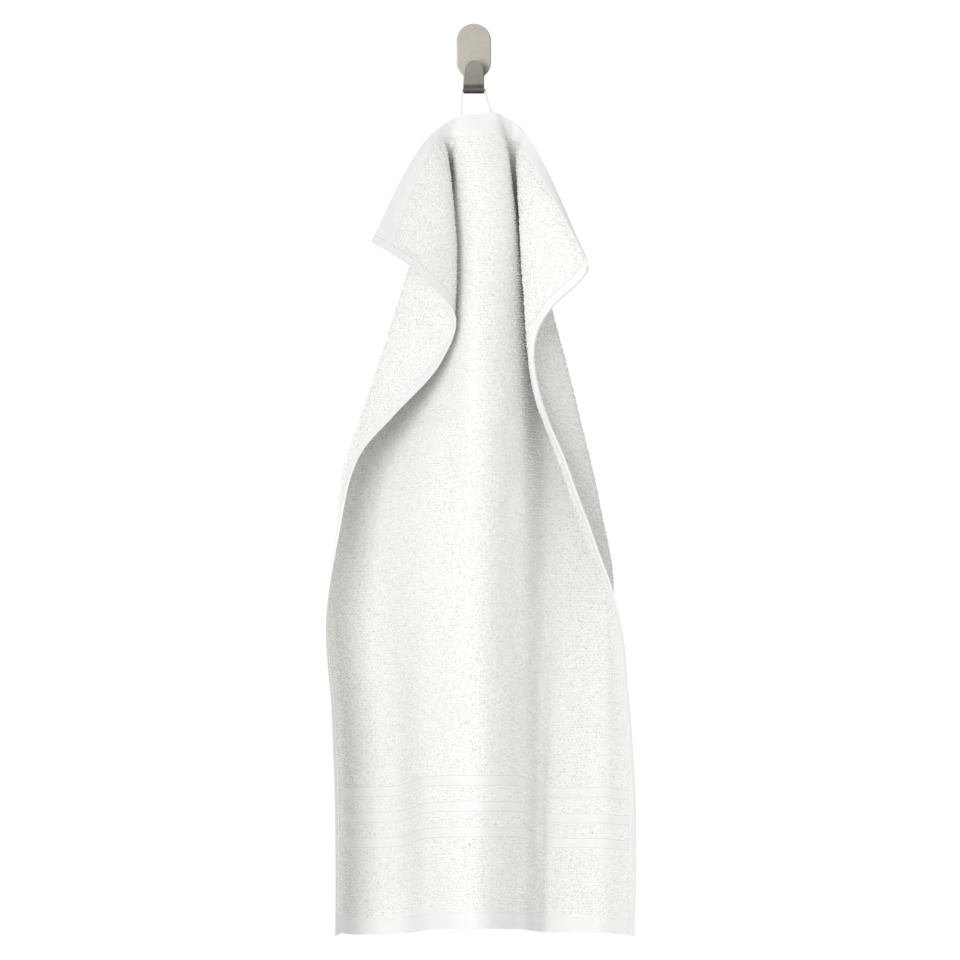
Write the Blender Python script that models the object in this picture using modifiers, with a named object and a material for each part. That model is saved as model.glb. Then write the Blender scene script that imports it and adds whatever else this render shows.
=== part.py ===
"""A terry hand towel that hangs from a small metal wall hook by its loop.

Metres, +Z up. X runs to the viewer's right, Y runs into the wall, and the wall is the plane Y = 0.
The origin is the middle of the hook's back, where it lies on the wall.

The towel is one cloth, 400 mm wide and 700 mm long, held at the middle of its top edge. Both of its
sides fall forward, so it has a round middle column, a fold near the wall on each side of it, two lapels
that show the back of the cloth, and two top corners that hang over them as flaps.
"""

import math
from typing import NamedTuple

import bmesh
import bpy
import numpy as np
from mathutils import Vector

MM = 0.001

# The cloth, flat
CLOTH_WIDTH = 400.0
CLOTH_LENGTH = 700.0
PILE_THICKNESS = 3.2
FLAT_THICKNESS = 1.7
TOP_HEM = 19.0
BOTTOM_HEM = 16.0
SIDE_HEM = 8.0
STEP = 1.6

# The woven border, as distances up from the bottom edge: low and high side of each flat band
BORDER_BANDS = ((77.0, 87.0), (99.0, 108.5), (121.0, 131.0))

# How finely the cloth is divided
ROW_PITCH_TOP = 12.0
ROW_PITCH_BODY = 27.0
TOP_ZONE = 190.0
CURVE_STEPS = 16
LEAST_CHORD = 0.5
LEAST_END_PANEL = 14.0

# The hook, one strip of metal bent to a J below a plate with round ends
HOOK_THICKNESS = 1.5
HOOK_PLATE_WIDTH = 30.0
HOOK_PLATE_TOP = 24.0
HOOK_STEM_WIDTH = 18.0
HOOK_BEND_RADIUS = 9.25
HOOK_LOWEST = 37.0
HOOK_TONGUE_WIDTH = 16.0
HOOK_TONGUE_TOP = 9.5
HOOK_TONGUE_LEAN = 12.0
HOOK_COLUMNS = 4
HOOK_EDGE_ROUND = 0.3
PLATE_TOP_ANGLE = 88.0
PLATE_TOP_STEPS = 9
NECK_STEPS = 6
BEND_STEPS = 12
TONGUE_TIP_ANGLE = 86.0
TONGUE_TIP_STEPS = 8

# The hanging loop, a flat tape
TAPE_WIDTH = 10.0
TAPE_THICKNESS = 0.8
TAPE_CUP_RADIUS = 8.1
TAPE_COLUMNS = 4
TAPE_STEPS = 3
TAPE_END_ACROSS = (-13.0, 9.0)
TAPE_END_DOWN = (15.5, 11.5)
SEAT_GAP = 0.75


class Station(NamedTuple):
    """A point of a fold line: how far down the cloth, and where it hangs, in millimetres."""

    down: float
    across: float
    out: float
    drop: float


# The fold lines of the hung cloth, from its left selvage to its right one. Each row is a station:
# down the cloth from its top edge, across to the right, out from the wall, and drop below the origin.
FOLD_LINES = {
    "left selvage": (
        (0, -86, 118, 169), (60, -42, 94, 199), (112, -16, 68, 236), (150, -29, 67, 270),
        (205, -67, 70, 313), (262, -97, 72, 349), (345, -117, 72, 422), (415, -127, 76, 490),
        (505, -121, 80, 575), (604, -119, 78, 668), (700, -119, 78, 759),
    ),
    "left front fold": (
        (0, -43, 46, 82), (30, -26, 38, 86), (60, -18, 60, 142), (90, -15, 65, 200),
        (112, -19, 60, 238), (150, -34, 55, 264), (205, -72, 55, 304), (262, -101, 56, 342),
        (345, -116, 55, 413), (415, -123, 58, 484), (505, -115, 60, 572), (700, -113, 58, 758),
    ),
    "left outer fold": (
        (0, -24, 28, 64), (30, -23, 24, 84), (60, -31, 9, 112), (90, -40, 7, 139),
        (140, -58, 7, 198), (192, -74, 7, 250), (244, -90, 7, 302), (314, -109, 8, 371),
        (380, -110, 9, 440), (431, -107, 9, 492), (498, -104, 9, 561), (569, -104, 10, 635),
        (700, -103, 12, 763),
    ),
    "left back": (
        (0, -17, 24, 60), (30, -19, 22, 86), (60, -23, 9, 115), (100, -35, 6, 154),
        (140, -46, 6, 201), (192, -61, 6, 251), (245, -75, 7, 303), (314, -89, 8, 372),
        (382, -86, 9, 441), (500, -72, 10, 562), (569, -68, 11, 634), (700, -64, 13, 762),
    ),
    "column left side": (
        (0, -9, 21, 56), (30, -14, 30, 85), (60, -13, 39, 116), (100, -15, 45, 156),
        (160, -18, 47, 214), (260, -25, 48, 315), (400, -36, 46, 455), (700, -38, 48, 756),
    ),
    "column ridge": (
        (0, 4, 20, 56), (30, 4, 37, 86), (60, 4, 50, 116), (100, 4, 60, 157),
        (150, 4, 65, 207), (250, 4, 66, 307), (400, 4, 68, 454), (700, 2, 80, 753),
    ),
    "column right side": (
        (0, 17, 20, 54), (30, 26, 27, 84), (60, 30, 40, 117), (100, 34, 46, 157),
        (160, 37, 47, 216), (260, 39, 45, 315), (400, 41, 43, 455), (700, 41, 46, 756),
    ),
    "right back": (
        (0, 27, 15, 58), (30, 29, 12, 87), (60, 32, 9, 118), (100, 37, 7, 158),
        (160, 49, 8, 217), (260, 62, 13, 317), (400, 66, 16, 457), (569, 65, 14, 635),
        (700, 63, 12, 761),
    ),
    "right outer fold": (
        (0, 36, 11, 63), (30, 36, 8, 89), (60, 43, 8, 122), (100, 53, 7, 163),
        (160, 67, 8, 225), (240, 87, 9, 302), (330, 106, 11, 388), (395, 118, 13, 453),
        (450, 117, 14, 512), (520, 113, 14, 583), (569, 111, 14, 635), (700, 109, 16, 761),
    ),
    "right front fold": (
        (0, 50, 22, 80), (30, 39, 28, 95), (60, 40, 48, 144), (100, 43, 58, 204),
        (140, 47, 60, 261), (175, 52, 60, 296), (240, 70, 50, 342), (330, 98, 46, 422),
        (395, 112, 48, 463), (450, 118, 50, 516), (520, 125, 50, 583), (569, 127, 48, 635),
        (700, 128, 50, 760),
    ),
    "right selvage": (
        (0, 91, 87, 175), (20, 97, 100, 189), (70, 66, 82, 225), (110, 54, 68, 247),
        (145, 52, 64, 270), (180, 57, 66, 301), (250, 80, 72, 361), (330, 103, 72, 423),
        (400, 122, 72, 480), (480, 131, 70, 550), (560, 137, 66, 626), (700, 136, 68, 760),
    ),
}

RIDGE_LINE = list(FOLD_LINES).index("column ridge")

# Columns of the cloth between each fold line and the next one, from the left selvage to the right one,
# and the columns of points that lie on each side hem
PANEL_COLUMNS = (5, 6, 3, 6, 5, 5, 5, 4, 4, 5)
SIDE_HEM_COLUMNS = 2

# The tape's free route from its left end to its right one: across, out, drop, how far its width has
# turned from running out of the wall to lying in the cloth (0 to 1), and how far it is cupped (0 to 1)
TAPE_ROUTE = (
    (-12.4, 17.8, 66.0, 0.5, 0.0),
    (-10.9, 14.6, 60.5, 0.0, 0.0),
    (-10.5, 13.1, 54.5, 0.0, 0.0),
    (-10.1, 11.4, 44.0, 0.0, 0.1),
    (-9.9, 10.1, 38.0, 0.0, 0.7),
    (-9.7, 10.0, 35.3, 0.0, 1.0),
    (-8.2, 10.0, 34.7, 0.0, 1.0),
    (0.0, 10.0, 34.65, 0.0, 1.0),
    (8.2, 10.0, 34.7, 0.0, 1.0),
    (9.8, 10.0, 35.3, 0.0, 1.0),
    (10.6, 10.2, 38.0, 0.0, 0.7),
    (12.2, 11.6, 44.0, 0.0, 0.1),
    (15.2, 13.2, 54.0, 0.1, 0.0),
    (15.4, 14.8, 60.0, 0.2, 0.0),
    (14.2, 17.8, 66.0, 0.6, 0.0),
)


def smooth_curve(knots, points, where):
    """Point of a smooth curve through the points, which stand at rising knots."""
    last = len(knots) - 1
    steps = np.diff(knots)
    slopes = np.diff(points, axis=0) / steps[:, None]
    span = min(max(int(np.searchsorted(knots, where, side="right")) - 1, 0), last - 1)

    def inner_tangent(k):
        """Tangent at an inner knot, from the slopes on its two sides."""
        return (steps[k] * slopes[k - 1] + steps[k - 1] * slopes[k]) / (steps[k - 1] + steps[k])

    def tangent(k):
        """Tangent at any knot; an end knot continues the bend of its neighbour."""
        if k == 0:
            return 1.5 * slopes[0] - 0.5 * inner_tangent(1)
        if k == last:
            return 1.5 * slopes[-1] - 0.5 * inner_tangent(last - 1)
        return inner_tangent(k)

    step = steps[span]
    s = (where - knots[span]) / step
    return (
        (2 * s**3 - 3 * s**2 + 1) * points[span]
        + (s**3 - 2 * s**2 + s) * step * tangent(span)
        + (3 * s**2 - 2 * s**3) * points[span + 1]
        + (s**3 - s**2) * step * tangent(span + 1)
    )


def line_arrays():
    """The fold lines as knots down the cloth and world points, both in millimetres."""
    lines = []
    for rows in FOLD_LINES.values():
        stations = [Station(*row) for row in rows]
        knots = np.array([s.down for s in stations], float)
        points = np.array([(s.across, -s.out, -s.drop) for s in stations], float)
        lines.append((knots, points))
    return lines


def row_curve(lines, down):
    """One row of the cloth as a fine curve, with its length so far at each point."""
    corners = np.array([smooth_curve(knots, points, down) for knots, points in lines])
    chords = np.linalg.norm(np.diff(corners, axis=0), axis=1)
    knots = np.concatenate([[0.0], np.cumsum(np.sqrt(np.maximum(chords, LEAST_CHORD)))])
    places = np.interp(
        np.arange((len(corners) - 1) * CURVE_STEPS + 1) / CURVE_STEPS, np.arange(len(corners)), knots
    )
    curve = np.array([smooth_curve(knots, corners, place) for place in places])
    run = np.concatenate([[0.0], np.cumsum(np.linalg.norm(np.diff(curve, axis=0), axis=1))])
    return curve, run


def at_lengths(curve, run, wanted):
    """Points of a row at the wanted lengths from its left selvage."""
    return np.stack([np.interp(wanted, run, curve[:, axis]) for axis in range(3)], axis=1)


def cloth_row(lines, down):
    """Points of the cloth along one row: its side hems' edges, and even columns in each panel."""
    curve, run = row_curve(lines, down)
    line_runs = run[::CURVE_STEPS].copy()
    hem_in, hem_out = SIDE_HEM + STEP / 2, SIDE_HEM - STEP / 2
    line_runs[0], line_runs[-1] = hem_in, run[-1] - hem_in
    line_runs[1] = max(line_runs[1], hem_in + LEAST_END_PANEL)
    line_runs[-2] = min(line_runs[-2], line_runs[-1] - LEAST_END_PANEL)
    wanted = [0.0, hem_out]
    for low, high, count in zip(line_runs, line_runs[1:], PANEL_COLUMNS):
        wanted += list(np.linspace(low, high, count, endpoint=False))
    wanted += [line_runs[-1], run[-1] - hem_out, run[-1]]
    return at_lengths(curve, run, wanted)


def cloth_points(lines, down, across_places):
    """Points of the cloth at distances to the right of its middle, which lies on the ridge."""
    curve, run = row_curve(lines, down)
    ridge_run = run[RIDGE_LINE * CURVE_STEPS]
    half = CLOTH_WIDTH / 2
    wanted = np.interp(across_places, [-half, 0.0, half], [0.0, ridge_run, run[-1]])
    return at_lengths(curve, run, wanted)


def spread(low, high, pitch):
    """Evenly spaced values from low to high, no further apart than the pitch."""
    count = max(1, math.ceil((high - low) / pitch - 1e-6))
    return [low + (high - low) * n / count for n in range(count)]


def cloth_down_places():
    """Rows of the cloth: pairs at each step of thickness, and an even spread between them."""
    steps_up = [BOTTOM_HEM] + [edge for band in BORDER_BANDS for edge in band]
    edges = sorted([TOP_HEM] + [CLOTH_LENGTH - up for up in steps_up])
    stops = [0.0]
    for edge in edges:
        stops += [edge - STEP / 2, edge + STEP / 2]
    stops.append(CLOTH_LENGTH)
    rows = []
    for low, high in zip(stops, stops[1:]):
        if low < TOP_ZONE < high:
            rows += spread(low, TOP_ZONE, ROW_PITCH_TOP) + spread(TOP_ZONE, high, ROW_PITCH_BODY)
        else:
            rows += spread(low, high, ROW_PITCH_TOP if high <= TOP_ZONE else ROW_PITCH_BODY)
    return rows + [CLOTH_LENGTH]


def is_flat_row(down):
    """Whether this row of the cloth lies in an end hem or a flat band, with no pile."""
    up = CLOTH_LENGTH - down
    return down < TOP_HEM or up < BOTTOM_HEM or any(low < up < high for low, high in BORDER_BANDS)


def make_material(name, color, roughness, metallic):
    """A Principled material of one colour."""
    material = bpy.data.materials.new(name)
    material.use_nodes = True
    shader = material.node_tree.nodes["Principled BSDF"]
    shader.inputs["Base Color"].default_value = (*color, 1.0)
    shader.inputs["Roughness"].default_value = roughness
    shader.inputs["Metallic"].default_value = metallic
    return material


def grid_object(name, rows, collection, material):
    """An open sheet whose grid points lie at the given rows of points, in millimetres."""
    grid = bmesh.new()
    tall, wide = len(rows), len(rows[0])
    bmesh.ops.create_grid(grid, x_segments=wide - 1, y_segments=tall - 1, size=1.0)
    grid.verts.ensure_lookup_table()
    for index, vert in enumerate(grid.verts):
        vert.co = Vector(rows[index // wide][index % wide]) * MM
    mesh = bpy.data.meshes.new(name)
    grid.to_mesh(mesh)
    grid.free()
    mesh.materials.append(material)
    sheet = bpy.data.objects.new(name, mesh)
    collection.objects.link(sheet)
    return sheet


def add_wall(sheet, thickness, offset=0.0):
    """Gives a sheet its thickness, in millimetres."""
    solidify = sheet.modifiers.new("Thickness", "SOLIDIFY")
    solidify.thickness = thickness * MM
    solidify.offset = offset
    return solidify


def build_cloth(lines, collection, material):
    """The towel's cloth, thinner at its hems and flat bands than in its pile."""
    downs = cloth_down_places()
    rows = [cloth_row(lines, down) for down in downs]
    wide = len(rows[0])
    cloth = grid_object("towel_cloth", rows, collection, material)
    pile = cloth.vertex_groups.new(name="pile")
    for j, down in enumerate(downs):
        for i in range(wide):
            in_side_hem = min(i, wide - 1 - i) < SIDE_HEM_COLUMNS
            weight = 0.0 if in_side_hem or is_flat_row(down) else 1.0
            pile.add([j * wide + i], weight, "REPLACE")
    wall = add_wall(cloth, PILE_THICKNESS)
    wall.vertex_group = pile.name
    wall.thickness_vertex_group = FLAT_THICKNESS / PILE_THICKNESS
    cloth.data.shade_smooth()
    return cloth


def hook_half_width(height):
    """Half the width of the hook's plate or stem at a height above the plate's middle."""
    radius = HOOK_PLATE_WIDTH / 2
    round_start = HOOK_PLATE_TOP - radius
    over = max(0.0, abs(height) - round_start)
    plate = math.sqrt(max(0.0, radius**2 - over**2))
    return max(plate, HOOK_STEM_WIDTH / 2) if height < 0 else plate


def hook_stations():
    """Points along the bent strip: half width, out and height, from plate top to tongue tip."""
    middle = HOOK_THICKNESS / 2
    radius = HOOK_PLATE_WIDTH / 2
    bend_height = -(HOOK_LOWEST - middle - HOOK_BEND_RADIUS)
    stations = []
    for n in range(PLATE_TOP_STEPS + 1):
        angle = math.radians(PLATE_TOP_ANGLE * (1 - n / PLATE_TOP_STEPS))
        height = HOOK_PLATE_TOP - radius + radius * math.sin(angle)
        stations.append((hook_half_width(height), middle, height))
    neck_angle = math.acos(HOOK_STEM_WIDTH / HOOK_PLATE_WIDTH)
    for n in range(NECK_STEPS + 1):
        angle = neck_angle * n / NECK_STEPS
        height = -(HOOK_PLATE_TOP - radius + radius * math.sin(angle))
        stations.append((hook_half_width(height), middle, height))
    bend_half = HOOK_STEM_WIDTH / 2
    lean = math.radians(HOOK_TONGUE_LEAN)
    for n in range(BEND_STEPS + 1):
        angle = (math.pi - lean) * n / BEND_STEPS
        out = middle + HOOK_BEND_RADIUS * (1 - math.cos(angle))
        height = bend_height - HOOK_BEND_RADIUS * math.sin(angle)
        stations.append((bend_half, out, height))
    tongue_radius = HOOK_TONGUE_WIDTH / 2
    straight = (-HOOK_TONGUE_TOP - height) / math.cos(lean) - tongue_radius
    for n in range(TONGUE_TIP_STEPS + 1):
        angle = math.radians(TONGUE_TIP_ANGLE * n / TONGUE_TIP_STEPS)
        run = straight + tongue_radius * math.sin(angle)
        half = tongue_radius * math.cos(angle)
        stations.append((half, out + run * math.sin(lean), height + run * math.cos(lean)))
    return stations


def build_hook(collection, material):
    """The wall hook, bent from one strip of metal."""
    rows = []
    for half, out, height in hook_stations():
        places = [half * (2 * i / HOOK_COLUMNS - 1) for i in range(HOOK_COLUMNS + 1)]
        rows.append([(place, -out, height) for place in places])
    hook = grid_object("hook", rows, collection, material)
    add_wall(hook, HOOK_THICKNESS)
    bevel = hook.modifiers.new("Soft edges", "BEVEL")
    bevel.width = HOOK_EDGE_ROUND * MM
    bevel.segments = 1
    bevel.limit_method = "ANGLE"
    bevel.angle_limit = math.radians(50)
    return hook


def tape_end(lines, across, down):
    """Middle and width direction of the tape where it lies on the back of the top hem."""
    half = TAPE_WIDTH / 2
    left, middle, right = cloth_points(lines, down, [across - half, across, across + half])
    below = cloth_points(lines, down + 1.0, [across])[0]
    along = Vector(right - left).normalized()
    inward = Vector(below - middle).cross(along).normalized()
    if inward.y < 0:
        inward = -inward
    chord = Vector(left + right) / 2
    nearest = max(Vector(middle), chord, key=inward.dot)
    lift = FLAT_THICKNESS / 2 + SEAT_GAP + TAPE_THICKNESS / 2
    return nearest + inward * lift, along


def tape_sections(lines):
    """Middle, width direction and cupping of the tape along its whole length."""
    sections = []
    for down in TAPE_END_DOWN:
        middle, along = tape_end(lines, TAPE_END_ACROSS[0], down)
        sections.append((middle, along, 0.0))
    for across, out, drop, turn, cup in TAPE_ROUTE:
        width = Vector((turn, 1.0 - turn, 0.0)).normalized()
        sections.append((Vector((across, -out, -drop)), width, cup))
    for down in reversed(TAPE_END_DOWN):
        middle, along = tape_end(lines, TAPE_END_ACROSS[1], down)
        sections.append((middle, along, 0.0))
    return sections


def build_loop(lines, collection, material):
    """The hanging loop: a tape over the hook, its ends on the back of the top hem."""
    sections = tape_sections(lines)
    middles = np.array([section[0] for section in sections])
    widths = np.array([section[1] for section in sections])
    cups = np.array([[section[2]] for section in sections])
    chords = np.linalg.norm(np.diff(middles, axis=0), axis=1)
    knots = np.concatenate([[0.0], np.cumsum(chords)])
    rows = []
    for k in range(len(sections) - 1):
        steps = TAPE_STEPS if k < len(sections) - 2 else TAPE_STEPS + 1
        for n in range(steps):
            where = knots[k] + (knots[k + 1] - knots[k]) * n / TAPE_STEPS
            middle = smooth_curve(knots, middles, where)
            width = Vector(smooth_curve(knots, widths, where)).normalized()
            cup = float(smooth_curve(knots, cups, where)[0])
            row = []
            for i in range(TAPE_COLUMNS + 1):
                place = TAPE_WIDTH * (i / TAPE_COLUMNS - 0.5)
                rise = cup * (TAPE_CUP_RADIUS - math.sqrt(TAPE_CUP_RADIUS**2 - place**2))
                row.append(Vector(middle) + width * place + Vector((0.0, 0.0, rise)))
            rows.append(row)
    loop = grid_object("hanging_loop", rows, collection, material)
    add_wall(loop, TAPE_THICKNESS)
    loop.data.shade_smooth()
    return loop


def main():
    """Builds the towel, its loop and the hook."""
    for old in list(bpy.data.objects):
        bpy.data.objects.remove(old, do_unlink=True)
    collection = bpy.data.collections.new("hanging_towel")
    bpy.context.scene.collection.children.link(collection)
    terry = make_material("white_terry", (0.90, 0.90, 0.885), 0.95, 0.0)
    tape = make_material("white_tape", (0.92, 0.92, 0.91), 0.8, 0.0)
    steel = make_material("satin_steel", (0.38, 0.36, 0.32), 0.35, 1.0)
    lines = line_arrays()
    build_hook(collection, steel)
    build_loop(lines, collection, tape)
    build_cloth(lines, collection, terry)


main()
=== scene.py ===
"""A white terry hand towel that hangs from a small wall hook by its tape loop.

The towel is one cloth. Its ground is a thin sheet on the hung folds, its pile is thousands of small loops
that stand in rows on both faces, and its hems and border bands are left bare. Lengths inside the classes
are in millimetres, and the meshes are in metres.
"""

import logging
import math
from dataclasses import dataclass, field
from enum import Enum
from functools import reduce
from typing import NamedTuple

import bmesh
import bpy
import numpy as np
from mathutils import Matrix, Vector


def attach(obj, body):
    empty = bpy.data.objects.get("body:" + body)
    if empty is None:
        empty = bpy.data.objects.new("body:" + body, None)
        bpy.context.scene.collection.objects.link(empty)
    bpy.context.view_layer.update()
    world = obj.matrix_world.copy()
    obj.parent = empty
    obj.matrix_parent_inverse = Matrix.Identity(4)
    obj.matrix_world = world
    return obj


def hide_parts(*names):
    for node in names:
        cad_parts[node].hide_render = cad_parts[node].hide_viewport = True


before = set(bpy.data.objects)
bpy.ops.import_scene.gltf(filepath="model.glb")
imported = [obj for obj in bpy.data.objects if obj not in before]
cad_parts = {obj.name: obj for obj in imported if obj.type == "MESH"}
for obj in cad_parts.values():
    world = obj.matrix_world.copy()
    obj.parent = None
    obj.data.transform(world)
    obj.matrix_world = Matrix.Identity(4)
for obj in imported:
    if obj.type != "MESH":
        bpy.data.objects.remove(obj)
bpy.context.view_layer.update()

MM = 0.001
# Keeps a division from zero, and a count from one step too many
TINY = 1e-9
BODY = "root"
# A band texture at scale 1 repeats after this many metres
WAVE_REPEAT = 0.314
LOG = logging.getLogger("towel")


class Side(Enum):
    """A face of the cloth: the one turned to the viewer at the ridge, or the one turned to the wall."""

    FRONT = 1
    BACK = -1


class Zone(Enum):
    """What the cloth is at a spot. The value is the sheet's material index there."""

    TERRY = 0
    HEM = 1
    BAND = 2


class Station(NamedTuple):
    """A point of a fold line: how far down the cloth, and where it hangs, in millimetres."""

    down: float
    across: float
    out: float
    drop: float


class Crease(NamedTuple):
    """A soft trough or ridge: its middle on the cloth, its half sizes, and its height, in millimetres."""

    across: float
    down: float
    half_wide: float
    half_tall: float
    rise: float


class Ripple(NamedTuple):
    """A faint unevenness of the cloth: its height, and how the two waves that make it turn and start."""

    height: float
    across: float
    down: float
    shift: float
    beat: float
    beat_shift: float


class TapePoint(NamedTuple):
    """A point of the tape's route in millimetres, with its turn and its cupping, both from 0 to 1."""

    across: float
    out: float
    drop: float
    turn: float
    cup: float


# The fold lines of the hung cloth, from its left selvage to its right one. Each row is a station:
# down the cloth from its top edge, across to the right, out from the wall, and drop below the origin.
FOLD_LINES = {
    "left selvage": (
        (0, -86, 118, 169), (60, -42, 94, 199), (112, -16, 68, 236), (150, -29, 67, 270),
        (205, -67, 70, 313), (262, -97, 72, 349), (345, -117, 72, 422), (415, -127, 76, 490),
        (505, -121, 80, 575), (604, -119, 78, 668), (700, -119, 78, 759),
    ),
    "left front fold": (
        (0, -43, 46, 82), (30, -26, 38, 86), (60, -18, 60, 142), (90, -15, 65, 200),
        (112, -19, 60, 238), (150, -34, 55, 264), (205, -72, 55, 304), (262, -101, 56, 342),
        (345, -116, 55, 413), (415, -123, 58, 484), (505, -115, 60, 572), (700, -113, 58, 758),
    ),
    "left outer fold": (
        (0, -24, 28, 64), (30, -23, 24, 84), (60, -31, 9, 112), (90, -40, 7, 139),
        (140, -58, 7, 198), (192, -74, 7, 250), (244, -90, 7, 302), (314, -109, 8, 371),
        (380, -110, 9, 440), (431, -107, 9, 492), (498, -104, 9, 561), (569, -104, 10, 635),
        (700, -103, 12, 763),
    ),
    "left back": (
        (0, -17, 24, 60), (30, -19, 22, 86), (60, -23, 9, 115), (100, -35, 6, 154),
        (140, -46, 6, 201), (192, -61, 6, 251), (245, -75, 7, 303), (314, -89, 8, 372),
        (382, -86, 9, 441), (500, -72, 10, 562), (569, -68, 11, 634), (700, -64, 13, 762),
    ),
    "column left side": (
        (0, -9, 21, 56), (30, -14, 30, 85), (60, -13, 39, 116), (100, -15, 45, 156),
        (160, -18, 47, 214), (260, -25, 48, 315), (400, -36, 46, 455), (700, -38, 48, 756),
    ),
    "column ridge": (
        (0, 4, 20, 56), (30, 4, 37, 86), (60, 4, 50, 116), (100, 4, 60, 157),
        (150, 4, 65, 207), (250, 4, 66, 307), (400, 4, 68, 454), (700, 2, 80, 753),
    ),
    "column right side": (
        (0, 17, 20, 54), (30, 26, 27, 84), (60, 30, 40, 117), (100, 34, 46, 157),
        (160, 37, 47, 216), (260, 39, 45, 315), (400, 41, 43, 455), (700, 41, 46, 756),
    ),
    "right back": (
        (0, 27, 15, 58), (30, 29, 12, 87), (60, 32, 9, 118), (100, 37, 7, 158),
        (160, 49, 8, 217), (260, 62, 13, 317), (400, 66, 16, 457), (569, 65, 14, 635),
        (700, 63, 12, 761),
    ),
    "right outer fold": (
        (0, 36, 11, 63), (30, 36, 8, 89), (60, 43, 8, 122), (100, 53, 7, 163),
        (160, 67, 8, 225), (240, 87, 9, 302), (330, 106, 11, 388), (395, 118, 13, 453),
        (450, 117, 14, 512), (520, 113, 14, 583), (569, 111, 14, 635), (700, 109, 16, 761),
    ),
    "right front fold": (
        (0, 50, 22, 80), (30, 39, 28, 95), (60, 40, 48, 144), (100, 43, 58, 204),
        (140, 47, 60, 261), (175, 52, 60, 296), (240, 70, 50, 342), (330, 98, 46, 422),
        (395, 112, 48, 463), (450, 118, 50, 516), (520, 125, 50, 583), (569, 127, 48, 635),
        (700, 128, 50, 760),
    ),
    "right selvage": (
        (0, 91, 87, 175), (20, 97, 100, 189), (70, 66, 82, 225), (110, 54, 68, 247),
        (145, 52, 64, 270), (180, 57, 66, 301), (250, 80, 72, 361), (330, 103, 72, 423),
        (400, 122, 72, 480), (480, 131, 70, 550), (560, 137, 66, 626), (700, 136, 68, 760),
    ),
}

# Small creases and soft ridges of the cloth, raised towards its front face
CREASES = (
    Crease(-16, 61, 9, 2.4, -1.1),
    Crease(-13, 141, 8, 2.6, -1.0),
    Crease(82, 560, 7, 170, 1.6),
    Crease(-60, 610, 26, 60, -1.2),
    Crease(30, 330, 10, 90, -0.8),
    Crease(140, 470, 16, 70, 1.2),
)

# The first wave turns across and down the cloth, and the second one down the cloth, in radians a millimetre
RIPPLES = (
    Ripple(0.35, 0.071, 0.013, 0.0, 0.038, 0.6),
    Ripple(0.3, 0.043, -0.027, 1.9, 0.0, math.pi / 2),
    Ripple(0.18, 0.16, 0.0, 0.4, 0.093, 1.1),
)

# The tape's free route from its left end to its right one. Its width turns from running out of the wall,
# at 0, to lying in the cloth, at 1
TAPE_ROUTE = (
    TapePoint(-12.4, 17.8, 66.0, 0.5, 0.0),
    TapePoint(-10.9, 14.6, 60.5, 0.0, 0.0),
    TapePoint(-10.5, 13.1, 54.5, 0.0, 0.0),
    TapePoint(-10.1, 11.4, 44.0, 0.0, 0.1),
    TapePoint(-9.9, 10.1, 38.0, 0.0, 0.7),
    TapePoint(-9.7, 10.0, 35.3, 0.0, 1.0),
    TapePoint(-8.2, 10.0, 34.7, 0.0, 1.0),
    TapePoint(0.0, 10.0, 34.65, 0.0, 1.0),
    TapePoint(8.2, 10.0, 34.7, 0.0, 1.0),
    TapePoint(9.8, 10.0, 35.3, 0.0, 1.0),
    TapePoint(10.6, 10.2, 38.0, 0.0, 0.7),
    TapePoint(12.2, 11.6, 44.0, 0.0, 0.1),
    TapePoint(15.2, 13.2, 54.0, 0.1, 0.0),
    TapePoint(15.4, 14.8, 60.0, 0.2, 0.0),
    TapePoint(14.2, 17.8, 66.0, 0.6, 0.0),
)


def smooth_curve(knots: np.ndarray, points: np.ndarray, where: np.ndarray) -> np.ndarray:
    """Points of a smooth curve through the given points, which stand at rising knots.

    Args:
        knots: one rising value for each point.
        points: the points, one row each.
        where: the places along the knots that are wanted.

    Returns:
        One row for each wanted place.
    """
    steps = np.diff(knots)[:, None]
    slopes = np.diff(points, axis=0) / steps
    inner = (steps[1:] * slopes[:-1] + steps[:-1] * slopes[1:]) / (steps[1:] + steps[:-1])
    first = 1.5 * slopes[0] - 0.5 * inner[0]
    last = 1.5 * slopes[-1] - 0.5 * inner[-1]
    tangents = np.vstack([first, inner, last])
    span = np.clip(np.searchsorted(knots, where, side="right") - 1, 0, len(steps) - 1)
    step = steps[span]
    s = ((where - knots[span]) / step[:, 0])[:, None]
    return (
        (2 * s**3 - 3 * s**2 + 1) * points[span]
        + (s**3 - 2 * s**2 + s) * step * tangents[span]
        + (3 * s**2 - 2 * s**3) * points[span + 1]
        + (s**3 - s**2) * step * tangents[span + 1]
    )


def unit(vectors: np.ndarray) -> np.ndarray:
    """The vectors at length one, along the last axis."""
    return vectors / np.maximum(np.linalg.norm(vectors, axis=-1, keepdims=True), TINY)


def run_along(points: np.ndarray) -> np.ndarray:
    """The length of a line of points up to each of them."""
    return np.concatenate([[0.0], np.cumsum(np.linalg.norm(np.diff(points, axis=0), axis=1))])


def on_curve(curve: np.ndarray, run: np.ndarray, wanted: np.ndarray) -> np.ndarray:
    """Points of a fine curve.

    Args:
        curve: the curve's points, one row each.
        run: its length up to each of them.
        wanted: lengths along it.

    Returns:
        One point for each wanted length.
    """
    return np.stack([np.interp(wanted, run, curve[:, axis]) for axis in range(3)], axis=1)


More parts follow.
